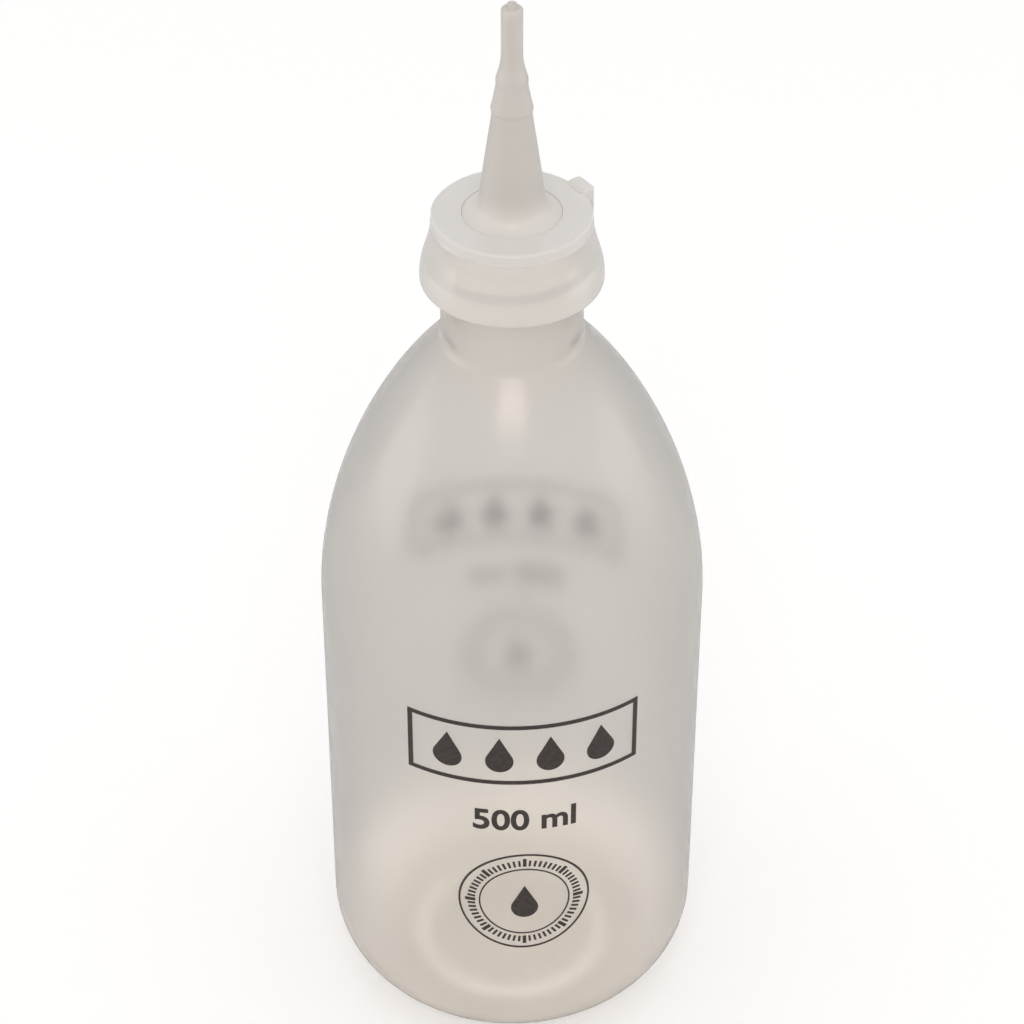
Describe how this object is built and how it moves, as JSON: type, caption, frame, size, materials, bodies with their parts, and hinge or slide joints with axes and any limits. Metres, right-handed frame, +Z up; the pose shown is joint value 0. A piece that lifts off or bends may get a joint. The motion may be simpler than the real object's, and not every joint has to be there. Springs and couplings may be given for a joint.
{
  "type": "dispensing wash bottle",
  "caption": "Translucent half-litre squeeze wash bottle with a domed shoulder, flared screw cap and straight stepped cone spout.",
  "frame": {"origin": "centre of the flat ring that the bottle stands on, on its axis", "axes": "+Z up along the bottle's axis towards the spout's tip, -Y towards the side with the main print, +X to the right of that side"},
  "size_m": [0.075, 0.0752, 0.2259],
  "materials": {
    "bottle_plastic": "milky translucent low-density polyethylene, faintly glossy blown skin",
    "cap_plastic": "milky translucent moulded polyethylene, satin",
    "spout_plastic": "milky translucent moulded polyethylene, satin",
    "print_ink": "matt dark screen-printing ink"
  },
  "bodies": {
    "bottle_body": {"bottle": "bottle_plastic", "front_print": "print_ink", "rear_print": "print_ink"},
    "spout_body": {"spout": "spout_plastic"},
    "cap_body": {"screw_cap": "cap_plastic"}
  },
  "joints": [
    {"name": "spout_lift", "type": "slide", "parent": "bottle_body", "child": "spout_body", "axis": [0, 0, 1], "range_m": [0, 0.0045]},
    {"name": "cap_turn", "type": "hinge", "parent": "spout_body", "child": "cap_body", "pos_m": [0, 0, 0.176], "axis": [0, 0, 1], "range_deg": [0, 540]}
  ],
  "couplings": [
    {"joint": "spout_lift", "follows": "cap_turn", "m_per_rad": 0.000477}
  ]
}
